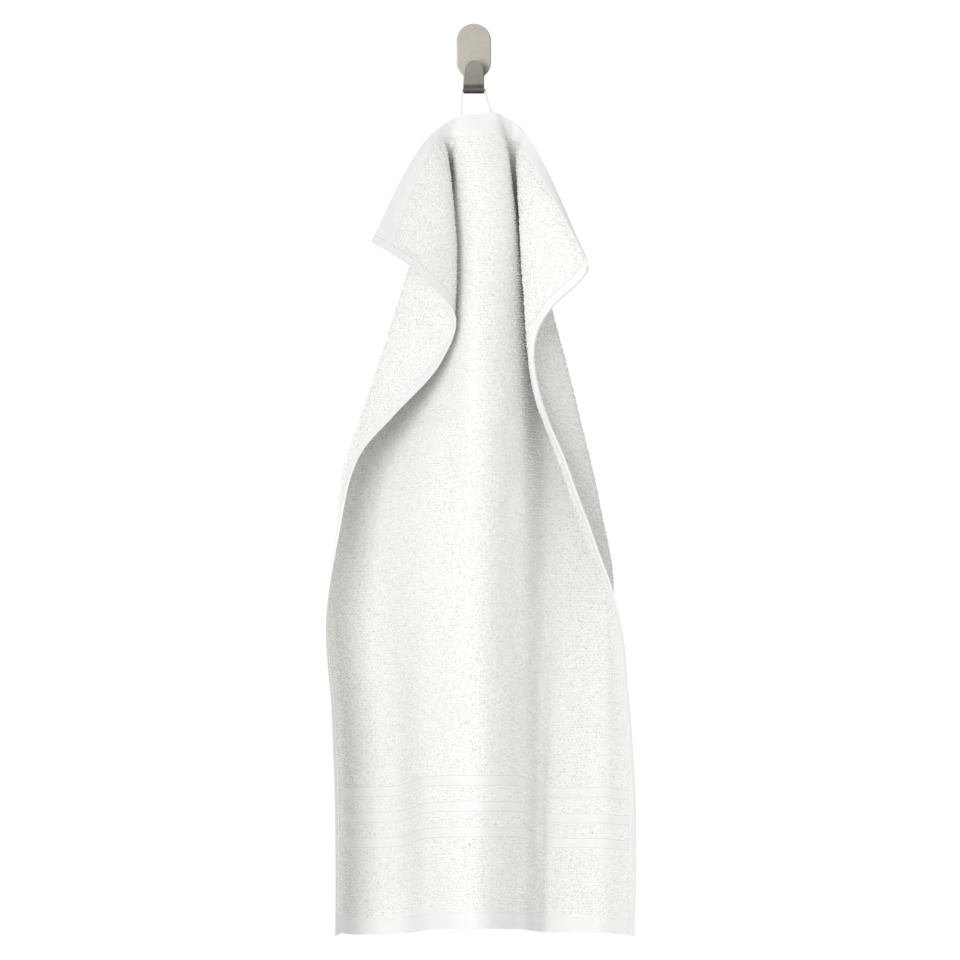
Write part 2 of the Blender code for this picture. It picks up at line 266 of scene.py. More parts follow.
@dataclass
class Drape:
    """The hung cloth as a map from a place on it to a place in space."""

    width: float = 400.0
    length: float = 700.0
    top_hem: float = 19.0
    bottom_hem: float = 16.0
    side_hem: float = 8.0
    bands: tuple[tuple[float, float], ...] = ((77.0, 87.0), (99.0, 108.5), (121.0, 131.0))
    curve_steps: int = 24
    least_chord: float = 0.5
    calm_top: float = 40.0
    lines: list[tuple[np.ndarray, np.ndarray]] = field(default_factory=list)

    def __post_init__(self) -> None:
        """Reads the fold lines into arrays of knots and points."""
        for rows in FOLD_LINES.values():
            stations = [Station(*row) for row in rows]
            knots = np.array([s.down for s in stations], float)
            points = np.array([(s.across, -s.out, -s.drop) for s in stations], float)
            self.lines.append((knots, points))
        self.ridge_line = list(FOLD_LINES).index("column ridge")

    def row_curve(self, down: float) -> tuple[np.ndarray, np.ndarray]:
        """One row of the cloth.

        Args:
            down: distance from the top edge.

        Returns:
            The row's fine curve, and its length so far at each point.
        """
        place = np.array([down])
        corners = np.array([smooth_curve(knots, points, place)[0] for knots, points in self.lines])
        chords = np.linalg.norm(np.diff(corners, axis=0), axis=1)
        rises = np.sqrt(np.maximum(chords, self.least_chord))
        knots = np.concatenate([[0.0], np.cumsum(rises)])
        fine = np.arange((len(corners) - 1) * self.curve_steps + 1) / self.curve_steps
        curve = smooth_curve(knots, corners, np.interp(fine, np.arange(len(corners)), knots))
        return curve, run_along(curve)

    def row_points(self, down: float, across: np.ndarray) -> np.ndarray:
        """Points of one row, without its creases.

        Args:
            down: distance from the top edge.
            across: distances to the right of the cloth's middle.

        Returns:
            One point for each place across.
        """
        curve, run = self.row_curve(down)
        return on_curve(curve, run, self.length_at(run, across))

    def across_at(self, run: np.ndarray, wanted: np.ndarray) -> np.ndarray:
        """Places across the cloth for lengths along one of its rows.

        Args:
            run: the row's length so far at each point of its curve.
            wanted: lengths from the row's left end.

        Returns:
            Distances to the right of the cloth's middle.
        """
        half = self.width / 2
        middle = run[self.ridge_line * self.curve_steps]
        return np.interp(wanted, [0.0, middle, run[-1]], [-half, 0.0, half])

    def length_at(self, run: np.ndarray, across: np.ndarray) -> np.ndarray:
        """Lengths along a row for places across the cloth.

        Args:
            run: the row's length so far at each point of its curve.
            across: distances to the right of the cloth's middle.

        Returns:
            Lengths from the row's left end.
        """
        half = self.width / 2
        middle = run[self.ridge_line * self.curve_steps]
        return np.interp(across, [-half, 0.0, half], [0.0, middle, run[-1]])

    def rise(self, across: np.ndarray, down: np.ndarray) -> np.ndarray:
        """Height of the creases and of a faint unevenness above the plain folds.

        Args:
            across: distances to the right of the cloth's middle.
            down: distances from its top edge, in the same shape.

        Returns:
            The heights, which fade out towards the top edge.
        """
        high = np.zeros(np.shape(across))
        for ripple in RIPPLES:
            first = np.sin(across * ripple.across + down * ripple.down + ripple.shift)
            high += ripple.height * first * np.sin(down * ripple.beat + ripple.beat_shift)
        for crease in CREASES:
            wide = (across - crease.across) / crease.half_wide
            tall = (down - crease.down) / crease.half_tall
            high += crease.rise * np.exp(-(wide**2) - tall**2)
        return high * np.clip(down / self.calm_top, 0.0, 1.0)

    def raised(self, points: np.ndarray, across: np.ndarray, down: np.ndarray) -> np.ndarray:
        """The points of a grid of rows, moved out of the cloth by its creases."""
        return points + self.normals(points) * self.rise(across, down)[..., None]

    def normals(self, points: np.ndarray) -> np.ndarray:
        """Unit normals of a grid of rows.

        Args:
            points: the grid, indexed by row, column and axis.

        Returns:
            One normal for each point, towards the cloth's front face.
        """
        along = np.gradient(points, axis=1)
        below = np.gradient(points, axis=0)
        return unit(np.cross(below, along))

    def edges(self) -> list[float]:
        """Distances from the top edge where the end hems and the border bands begin or end."""
        ups = [self.bottom_hem] + [edge for band in self.bands for edge in band]
        return sorted([self.top_hem] + [self.length - up for up in ups])

    def is_flat_row(self, down: float) -> bool:
        """Whether a row lies in an end hem or in a border band.

        Args:
            down: the row's distance from the top edge.

        Returns:
            True where the row has no pile.
        """
        up = self.length - down
        ends = down < self.top_hem or up < self.bottom_hem
        return ends or any(low < up < high for low, high in self.bands)

    def zone(self, across: float, down: float) -> Zone:
        """What the cloth is at a spot.

        Args:
            across: distance to the right of the cloth's middle.
            down: distance from its top edge.

        Returns:
            The kind of cloth there.
        """
        up = self.length - down
        if down < self.top_hem or up < self.bottom_hem or abs(across) > self.width / 2 - self.side_hem:
            return Zone.HEM
        return Zone.BAND if self.is_flat_row(down) else Zone.TERRY


def link(name: str, mesh: bpy.types.Mesh, *materials: bpy.types.Material) -> bpy.types.Object:
    """Makes an object of a mesh at the origin.

    Args:
        name: the piece's name.
        mesh: its mesh, in metres.
        materials: its materials, in order.

    Returns:
        The linked object.
    """
    piece = bpy.data.objects.new(name, mesh)
    for material in materials:
        mesh.materials.append(material)
    bpy.context.scene.collection.objects.link(piece)
    return piece


def apply_modifiers(piece: bpy.types.Object) -> None:
    """Turns a piece's modifiers into mesh.

    Args:
        piece: the piece, which gets a new mesh of its own name.
    """
    graph = bpy.context.evaluated_depsgraph_get()
    done = bpy.data.meshes.new_from_object(piece.evaluated_get(graph))
    piece.modifiers.clear()
    old = piece.data
    piece.data = done
    done.name = piece.name
    bpy.data.meshes.remove(old)


def thicken(
    piece: bpy.types.Object, thickness: float, edge_round: float, rounds: int, least_angle: float
) -> None:
    """Gives an open sheet its thickness and soft edges.

    Args:
        piece: the sheet, in the middle of its coming thickness.
        thickness: its thickness in millimetres.
        edge_round: the width of its soft edges in millimetres.
        rounds: the steps of each soft edge.
        least_angle: the least angle of an edge that is softened, in degrees.
    """
    wall = piece.modifiers.new("Thickness", "SOLIDIFY")
    wall.thickness = thickness * MM
    wall.offset = 0.0
    edge = piece.modifiers.new("Soft edges", "BEVEL")
    edge.width = edge_round * MM
    edge.segments = rounds
    edge.limit_method = "ANGLE"
    edge.angle_limit = math.radians(least_angle)
    apply_modifiers(piece)
    piece.data.shade_smooth()


def grid_mesh(name: str, rows: np.ndarray, uv: np.ndarray | None = None) -> bpy.types.Mesh:
    """An open sheet whose grid points lie at the given rows.

    Args:
        name: the mesh's name.
        rows: points in millimetres, indexed by row, column and axis.
        uv: the same grid's places on the flat cloth, from 0 to 1.

    Returns:
        The mesh, in metres.
    """
    tall, wide = rows.shape[:2]
    grid = bmesh.new()
    bmesh.ops.create_grid(grid, x_segments=wide - 1, y_segments=tall - 1, size=1.0)
    grid.verts.ensure_lookup_table()
    for index, vert in enumerate(grid.verts):
        vert.co = Vector(rows[index // wide, index % wide]) * MM
    if uv is not None:
        layer = grid.loops.layers.uv.new("cloth")
        for face in grid.faces:
            for loop in face.loops:
                loop[layer].uv = uv[loop.vert.index // wide, loop.vert.index % wide]
    mesh = bpy.data.meshes.new(name)
    grid.to_mesh(mesh)
    grid.free()
    return mesh


class Feel(NamedTuple):
    """How a finish takes the light: its roughness, its sheen and its shine."""

    roughness: float
    sheen: float = 0.0
    shine: float = 0.5


class Grain(NamedTuple):
    """A noise: its scale and its detail."""

    scale: float
    detail: float


class Relief(NamedTuple):
    """A bump: its strength from 0 to 1, and its height in metres."""

    strength: float
    height: float


class ShadowLine(NamedTuple):
    """A thin line of painted shadow on a weave: its middle and half width in millimetres, and its depth of
    painted shade from 0 to 1.
    """

    middle: float
    half: float
    depth: float


class Nodes:
    """Short calls for a material's nodes."""

    sheen_roughness: float = 0.6
    # A colour mix's sockets
    mix_factor: int = 0
    mix_base: int = 6
    mix_layer: int = 7
    mix_result: int = 2

    def __init__(self, name: str, color: tuple[float, float, float], feel: Feel) -> None:
        """Starts a Principled material.

        Args:
            name: the material's name.
            color: its base colour.
            feel: how it takes the light.
        """
        self.material = bpy.data.materials.new(name)
        self.material.use_nodes = True
        self.tree = self.material.node_tree
        self.shader = self.tree.nodes["Principled BSDF"]
        self.shader.inputs["Base Color"].default_value = (*color, 1.0)
        self.shader.inputs["Roughness"].default_value = feel.roughness
        self.shader.inputs["Sheen Weight"].default_value = feel.sheen
        self.shader.inputs["Sheen Roughness"].default_value = self.sheen_roughness
        self.shader.inputs["Specular IOR Level"].default_value = feel.shine
        self.material.diffuse_color = (*color, 1.0)

    def add(self, kind: str, **values: object) -> bpy.types.Node:
        """Adds a node.

        Args:
            kind: the node's type.
            **values: values for its properties or its inputs, by their names.

        Returns:
            The node.
        """
        node = self.tree.nodes.new(kind)
        for key, value in values.items():
            if hasattr(node, key):
                setattr(node, key, value)
            else:
                node.inputs[key.replace("_", " ")].default_value = value
        return node

    def join(self, source: bpy.types.NodeSocket, target: bpy.types.NodeSocket) -> None:
        """Links two sockets."""
        self.tree.links.new(source, target)

    def place(
        self, layer: str | None = None, scale: tuple[float, float, float] = (1.0, 1.0, 1.0)
    ) -> bpy.types.NodeSocket:
        """Coordinates of a UV layer, or of the object itself, scaled.

        Args:
            layer: the UV map's name, or None for Object coordinates.
            scale: the factor on each axis.

        Returns:
            The scaled vector.
        """
        if layer:
            source = self.add("ShaderNodeUVMap", uv_map=layer).outputs["UV"]
        else:
            source = self.add("ShaderNodeTexCoord").outputs["Object"]
        mapping = self.add("ShaderNodeMapping", Scale=scale)
        self.join(source, mapping.inputs["Vector"])
        return mapping.outputs["Vector"]

    def noise(self, place: bpy.types.NodeSocket, grain: Grain) -> bpy.types.NodeSocket:
        """A noise.

        Args:
            place: the coordinates that it reads.
            grain: its scale and detail.

        Returns:
            Its value, from 0 to 1.
        """
        noise = self.add("ShaderNodeTexNoise", Scale=grain.scale, Detail=grain.detail)
        self.join(place, noise.inputs["Vector"])
        return noise.outputs["Fac"]

    def wave(self, place: bpy.types.NodeSocket, direction: str, scale: float) -> bpy.types.NodeSocket:
        """Even bands across one direction.

        Args:
            place: the coordinates that they read.
            direction: the axis that they cross.
            scale: their scale.

        Returns:
            Their value, from 0 to 1.
        """
        wave = self.add("ShaderNodeTexWave", wave_type="BANDS", bands_direction=direction, Scale=scale)
        self.join(place, wave.inputs["Vector"])
        return wave.outputs["Fac"]

    def math(self, operation: str, first: bpy.types.NodeSocket, second: object) -> bpy.types.NodeSocket:
        """A sum, a product or the like.

        Args:
            operation: the name of the operation.
            first: a socket.
            second: a socket or a number.

        Returns:
            The result.
        """
        node = self.add("ShaderNodeMath", operation=operation)
        self.join(first, node.inputs[0])
        if isinstance(second, float):
            node.inputs[1].default_value = second
        else:
            self.join(second, node.inputs[1])
        return node.outputs[0]

    def bump(self, height: bpy.types.NodeSocket, relief: Relief) -> None:
        """Raises the surface, on top of any bump that is there.

        Args:
            height: how high each spot is, from 0 to 1.
            relief: the bump's strength and height.
        """
        bump = self.add("ShaderNodeBump", Strength=relief.strength, Distance=relief.height)
        self.join(height, bump.inputs["Height"])
        before = self.shader.inputs["Normal"].links
        if before:
            self.join(before[0].from_socket, bump.inputs["Normal"])
        self.join(bump.outputs["Normal"], self.shader.inputs["Normal"])

    def tint(
        self,
        factor: bpy.types.NodeSocket,
        dark: tuple[float, float, float],
        light: tuple[float, float, float],
        low: float = 0.3,
        high: float = 0.7,
    ) -> None:
        """Colours the base between two tones.

        Args:
            factor: where on the way from dark to light.
            dark: the tone at low and below.
            light: the tone at high and above.
            low: factor where the change starts.
            high: factor where it ends.
        """
        ramp = self.add("ShaderNodeValToRGB")
        ramp.color_ramp.elements[0].position = low
        ramp.color_ramp.elements[0].color = (*dark, 1.0)
        ramp.color_ramp.elements[1].position = high
        ramp.color_ramp.elements[1].color = (*light, 1.0)
        self.join(factor, ramp.inputs["Fac"])
        self.join(ramp.outputs["Color"], self.shader.inputs["Base Color"])

    def streak(self, factor: bpy.types.NodeSocket, color: tuple[float, float, float]) -> None:
        """Lays a colour over the base.

        Args:
            factor: how far it covers the base, from 0 to 1.
            color: the colour.
        """
        mix = self.add("ShaderNodeMix", data_type="RGBA")
        self.join(factor, mix.inputs[self.mix_factor])
        self.join(self.shader.inputs["Base Color"].links[0].from_socket, mix.inputs[self.mix_base])
        mix.inputs[self.mix_layer].default_value = (*color, 1.0)
        self.join(mix.outputs[self.mix_result], self.shader.inputs["Base Color"])


@dataclass(frozen=True)
class CottonFinish:
    """White cotton in the forms that the towel has it."""

    drape: Drape
    white: tuple[float, float, float] = (0.79, 0.787, 0.777)
    off_white: tuple[float, float, float] = (0.765, 0.762, 0.75)
    # The pile's tone runs from deep at a loop's root to tip at its top: painted shade where the loops hide
    # each other
    tip: tuple[float, float, float] = (0.985, 0.982, 0.972)
    shade: tuple[float, float, float] = (0.88, 0.872, 0.855)
    root: tuple[float, float, float] = (0.73, 0.72, 0.7)
    deep: tuple[float, float, float] = (0.62, 0.608, 0.585)
    # Painted shadow: the dark tone of the thin lines along the side hems' inner edges and the band edges,
    # where the pile's shade falls
    painted_shadow: tuple[float, float, float] = (0.5, 0.495, 0.48)
    tape_dark: tuple[float, float, float] = (0.66, 0.657, 0.645)
    tape_light: tuple[float, float, float] = (0.75, 0.747, 0.735)
    thread_light: tuple[float, float, float] = (0.88, 0.88, 0.87)
    ground_feel: Feel = Feel(0.95, 0.2, 0.15)
    pile_feel: Feel = Feel(0.92, 0.25, 0.15)
    hem_feel: Feel = Feel(0.85, 0.15, 0.2)
    band_feel: Feel = Feel(0.8, 0.15, 0.25)
    tape_feel: Feel = Feel(0.8, 0.15, 0.2)
    thread_feel: Feel = Feel(0.6)
    fuzz: Grain = Grain(1400.0, 2.0)
    fuzz_relief: Relief = Relief(0.6, 0.0006)
    fibres: Grain = Grain(2600.0, 3.0)
    fibre_relief: Relief = Relief(0.5, 0.0004)
    yarn: float = 0.0009
    rib: float = 0.0021
    hem_relief: Relief = Relief(0.35, 0.0003)
    hem_wear: Grain = Grain(90.0, 3.0)
    hem_waves: Relief = Relief(0.3, 0.0012)
    # A line of painted shadow along each side hem's inner edge, beside the pile
    seam_shadow: ShadowLine = ShadowLine(7.5, 0.4, 0.45)
    band_relief: Relief = Relief(0.4, 0.0004)
    band_wear: Grain = Grain(110.0, 3.0)
    # Lines of painted shadow along each band's edges: dark at the head, where the pile above overhangs, and
    # fainter at the foot
    band_head_shadow: ShadowLine = ShadowLine(-0.35, 0.5, 1.0)
    band_foot_shadow: ShadowLine = ShadowLine(0.5, 0.4, 0.7)
    tape_spread: tuple[float, float, float] = (0.01, 0.14, 1.0)
    tape_ribs: float = 420.0
    tape_weft: float = 520.0
    tape_relief: Relief = Relief(0.5, 0.0003)
    tape_wear: Grain = Grain(400.0, 2.0)
    twist: Grain = Grain(3000.0, 1.0)
    twist_relief: Relief = Relief(0.4, 0.0002)

    def ground(self) -> bpy.types.Material:
        """The plain ground between the pile loops.

        Returns:
            The material.
        """
        nodes = Nodes("terry_ground", self.shade, self.ground_feel)
        fuzz = nodes.noise(nodes.place(), self.fuzz)
        nodes.tint(fuzz, self.root, self.shade)
        nodes.bump(fuzz, self.fuzz_relief)
        return nodes.material

    def pile(self) -> bpy.types.Material:
        """The pile's loops, painted darker from their tips down to their roots as painted shade, with
        fibres on each loop.

        Returns:
            The material.
        """
        nodes = Nodes("terry_pile", self.tip, self.pile_feel)
        tip = nodes.add("ShaderNodeAttribute", attribute_name="tip").outputs["Fac"]
        # Painted shade: each loop darker from its tip down to its root, with a random tone per loop
        nodes.tint(tip, self.deep, self.tip, 0.0, 1.0)
        nodes.bump(nodes.noise(nodes.place(), self.fibres), self.fibre_relief)
        return nodes.material

    def on_cloth(self, nodes: Nodes) -> bpy.types.NodeSocket:
        """Places on the flat cloth, in metres from its lower left corner."""
        return nodes.place("cloth", (self.drape.width * MM, self.drape.length * MM, 1.0))

    def lines(
        self, nodes: Nodes, place: bpy.types.NodeSocket, axis: str, wanted: tuple[ShadowLine, ...]
    ) -> bpy.types.NodeSocket:
        """Thin lines of painted shadow along the cloth.

        Args:
            nodes: the material's nodes.
            place: places on the flat cloth.
            axis: the axis that the lines cross.
            wanted: the lines.

        Returns:
            How dark the lines' painted shadow is at a spot.
        """
        split = nodes.add("ShaderNodeSeparateXYZ")
        nodes.join(place, split.inputs[0])
        shadow_depths = []
        for line in wanted:
            near = nodes.add("ShaderNodeMath", operation="COMPARE")
            nodes.join(split.outputs[axis], near.inputs[0])
            near.inputs[1].default_value = line.middle * MM
            near.inputs[2].default_value = line.half * MM
            shadow_depths.append(nodes.math("MULTIPLY", near.outputs[0], line.depth))
        return reduce(lambda one, other: nodes.math("MAXIMUM", one, other), shadow_depths)

    def plain_weave(self) -> bpy.types.Material:
        """The flat woven hems, with painted shadow as a thin dark line along the inner edge of each side
        hem.

        Returns:
            The material.
        """
        nodes = Nodes("hem_weave", self.white, self.hem_feel)
        place = self.on_cloth(nodes)
        warp = nodes.wave(place, "X", WAVE_REPEAT / self.yarn)
        weft = nodes.wave(place, "Y", WAVE_REPEAT / self.yarn)
        nodes.bump(nodes.math("MAXIMUM", warp, weft), self.hem_relief)
        wear = nodes.noise(place, self.hem_wear)
        nodes.tint(wear, self.off_white, self.white)
        # Painted shadow: a thin dark line along the inner edge of each side hem
        far_seam_shadow = self.seam_shadow._replace(middle=self.drape.width - self.seam_shadow.middle)
        nodes.streak(self.lines(nodes, place, "X", (self.seam_shadow, far_seam_shadow)), self.painted_shadow)
        nodes.bump(wear, self.hem_waves)
        return nodes.material

    def band_weave(self) -> bpy.types.Material:
        """The flat border bands, with fine ribs along them and a thin line of painted shadow at each edge.

        Returns:
            The material.
        """
        nodes = Nodes("band_weave", self.white, self.band_feel)
        place = self.on_cloth(nodes)
        ribs = nodes.wave(place, "Y", WAVE_REPEAT / self.rib)
        cells = nodes.wave(place, "X", WAVE_REPEAT / self.yarn)
        nodes.bump(nodes.math("MULTIPLY", ribs, cells), self.band_relief)
        nodes.tint(nodes.noise(place, self.band_wear), self.off_white, self.white)
        # Painted shadow lines at each band's edges, darker at the head than at the foot
        head, foot = self.band_head_shadow, self.band_foot_shadow
        edges = [head._replace(middle=high + head.middle) for _, high in self.drape.bands]
        edges += [foot._replace(middle=low + foot.middle) for low, _ in self.drape.bands]
        nodes.streak(self.lines(nodes, place, "Y", tuple(edges)), self.painted_shadow)
        return nodes.material

    def tape(self) -> bpy.types.Material:
        """The hanging tape, a fine herringbone.

        Returns:
            The material.
        """
        nodes = Nodes("tape_weave", self.white, self.tape_feel)
        place = nodes.place("tape", self.tape_spread)
        ribs = nodes.wave(place, "DIAGONAL", self.tape_ribs)
        weft = nodes.wave(place, "Y", self.tape_weft)
        nodes.bump(nodes.math("MULTIPLY", ribs, weft), self.tape_relief)
        nodes.tint(nodes.noise(place, self.tape_wear), self.tape_dark, self.tape_light)
        return nodes.material

    def thread(self) -> bpy.types.Material:
        """The sewing thread, slightly glossier than the cloth.

        Returns:
            The material.
        """
        nodes = Nodes("white_thread", self.white, self.thread_feel)
        twist = nodes.noise(nodes.place(), self.twist)
        nodes.tint(twist, self.shade, self.thread_light)
        nodes.bump(twist, self.twist_relief)
        return nodes.material


@dataclass(frozen=True)
class SatinSteelFinish:
    """Steel strip with a fine brushed grain along its length."""

    tone: tuple[float, float, float] = (0.31, 0.297, 0.262)
    dark: tuple[float, float, float] = (0.27, 0.257, 0.222)
    feel: Feel = Feel(0.42)
    smoothest: float = 0.36
    roughest: float = 0.5
    grain: Grain = Grain(5200.0, 2.0)
    grain_stretch: tuple[float, float, float] = (1.0, 1.0, 0.03)
    grain_relief: Relief = Relief(0.12, 0.0001)
    smudges: Grain = Grain(120.0, 2.0)

    def make(self) -> bpy.types.Material:
        """The steel's material, rougher where it has been touched.

        Returns:
            The material.
        """
        nodes = Nodes("satin_steel", self.tone, self.feel)
        nodes.shader.inputs["Metallic"].default_value = 1.0
        grain = nodes.noise(nodes.place(scale=self.grain_stretch), self.grain)
        nodes.tint(grain, self.dark, self.tone)
        nodes.bump(grain, self.grain_relief)
        smudge = nodes.noise(nodes.place(), self.smudges)
        ruffle = nodes.add("ShaderNodeMapRange", To_Min=self.smoothest, To_Max=self.roughest)
        nodes.join(smudge, ruffle.inputs["Value"])
        nodes.join(ruffle.outputs["Result"], nodes.shader.inputs["Roughness"])
        return nodes.material


@dataclass
class TowelSheet:
    """The towel's ground cloth, with its hems and border bands."""

    drape: Drape
    panel_columns: tuple[int, ...] = (12, 16, 9, 16, 14, 14, 13, 12, 12, 12)
    least_end_panel: float = 14.0
    row_pitch: float = 6.0
    top_pitch: float = 4.0
    top_zone: float = 190.0
    step: float = 1.2
    ground_thickness: float = 1.5
    flat_thickness: float = 2.1
    hem_columns: int = 3
    sharp_angle: float = 50.0

    def row_places(self) -> np.ndarray:
        """Places of the sheet's rows.

        Returns:
            Distances from the top edge: a pair at each step of thickness, and an even spread between.
        """
        edges = self.drape.edges()
        stops = [0.0]
        for edge in edges:
            stops += [edge - self.step / 2, edge + self.step / 2]
            if edge == edges[0]:
                stops.append(self.top_zone)
        stops.append(self.drape.length)
        rows: list[float] = []
        for low, high in zip(stops, stops[1:]):
            pitch = self.top_pitch if high <= self.top_zone else self.row_pitch
            count = max(1, math.ceil((high - low) / pitch - TINY))
            rows += list(np.linspace(low, high, count, endpoint=False))
        return np.array(rows + [self.drape.length])

    def row_lengths(self, run: np.ndarray) -> np.ndarray:
        """Places of the sheet's columns.

        Args:
            run: a row's length so far at each point of its curve.

        Returns:
            Lengths along the row: the side hems' edges, and even ones in each panel between.
        """
        drape = self.drape
        stops = run[:: drape.curve_steps].copy()
        hem_in, hem_out = drape.side_hem + self.step / 2, drape.side_hem - self.step / 2
        stops[0], stops[-1] = hem_in, run[-1] - hem_in
        stops[1] = max(stops[1], hem_in + self.least_end_panel)
        stops[-2] = min(stops[-2], stops[-1] - self.least_end_panel)
        wanted = [0.0, hem_out / 2, hem_out]
        for low, high, count in zip(stops, stops[1:], self.panel_columns):
            wanted += list(np.linspace(low, high, count, endpoint=False))
        return np.array(wanted + [stops[-1], run[-1] - hem_out, run[-1] - hem_out / 2, run[-1]])

    def surface(self, downs: np.ndarray) -> tuple[np.ndarray, np.ndarray]:
        """The middle of the sheet.

        Args:
            downs: the rows' distances from the top edge.

        Returns:
            Its grid of points, and their places on the flat cloth, from 0 to 1.
        """
        drape = self.drape
        points, across = [], []
        for down in downs:
            curve, run = drape.row_curve(down)
            wanted = self.row_lengths(run)
            points.append(on_curve(curve, run, wanted))
            across.append(drape.across_at(run, wanted))
        places = np.array(across)
        tall = np.repeat(downs[:, None], places.shape[1], axis=1)
        rows = drape.raised(np.array(points), places, tall)
        return rows, np.stack([places / drape.width + 0.5, 1.0 - tall / drape.length], axis=2)

    def mark_flat(self, piece: bpy.types.Object, downs: np.ndarray) -> bpy.types.VertexGroup:
        """Marks the hems and the border bands, which are thicker than the ground.

        Args:
            piece: the sheet.
            downs: its rows' distances from the top edge.

        Returns:
            The marked points.
        """
        wide = len(piece.data.vertices) // len(downs)
        group = piece.vertex_groups.new(name="flat")
        for row, down in enumerate(downs):
            flat_row = self.drape.is_flat_row(down)
            for column in range(wide):
                side = min(column, wide - 1 - column) < self.hem_columns
                group.add([row * wide + column], float(flat_row or side), "REPLACE")
        return group

    def choose_weave(self, mesh: bpy.types.Mesh, uv: np.ndarray) -> None:
        """Gives each face the finish of the kind of cloth that it lies in.

        Args:
            mesh: the sheet's mesh.
            uv: its points' places on the flat cloth, from 0 to 1.
        """
        drape, flat = self.drape, uv.reshape(-1, 2)
        for face in mesh.polygons:
            across, up = (flat[face.vertices[0]] + flat[face.vertices[2]]) / 2
            zone = drape.zone((across - 0.5) * drape.width, (1.0 - up) * drape.length)
            face.material_index = zone.value

    def build(self, finish: CottonFinish) -> bpy.types.Object:
        """Builds the sheet.

        Args:
            finish: the cotton's finishes.

        Returns:
            The finished piece.
        """
        downs = self.row_places()
        rows, uv = self.surface(downs)
        mesh = grid_mesh("towel_sheet", rows, uv)
        piece = link("towel_sheet", mesh, finish.ground(), finish.plain_weave(), finish.band_weave())
        self.choose_weave(mesh, uv)
        wall = piece.modifiers.new("Thickness", "SOLIDIFY")
        wall.thickness = self.flat_thickness * MM
        wall.offset = 0.0
        wall.vertex_group = self.mark_flat(piece, downs).name
        wall.thickness_vertex_group = self.ground_thickness / self.flat_thickness
        apply_modifiers(piece)
        piece.data.shade_smooth()
        piece.data.set_sharp_from_angle(angle=math.radians(self.sharp_angle))
        return piece


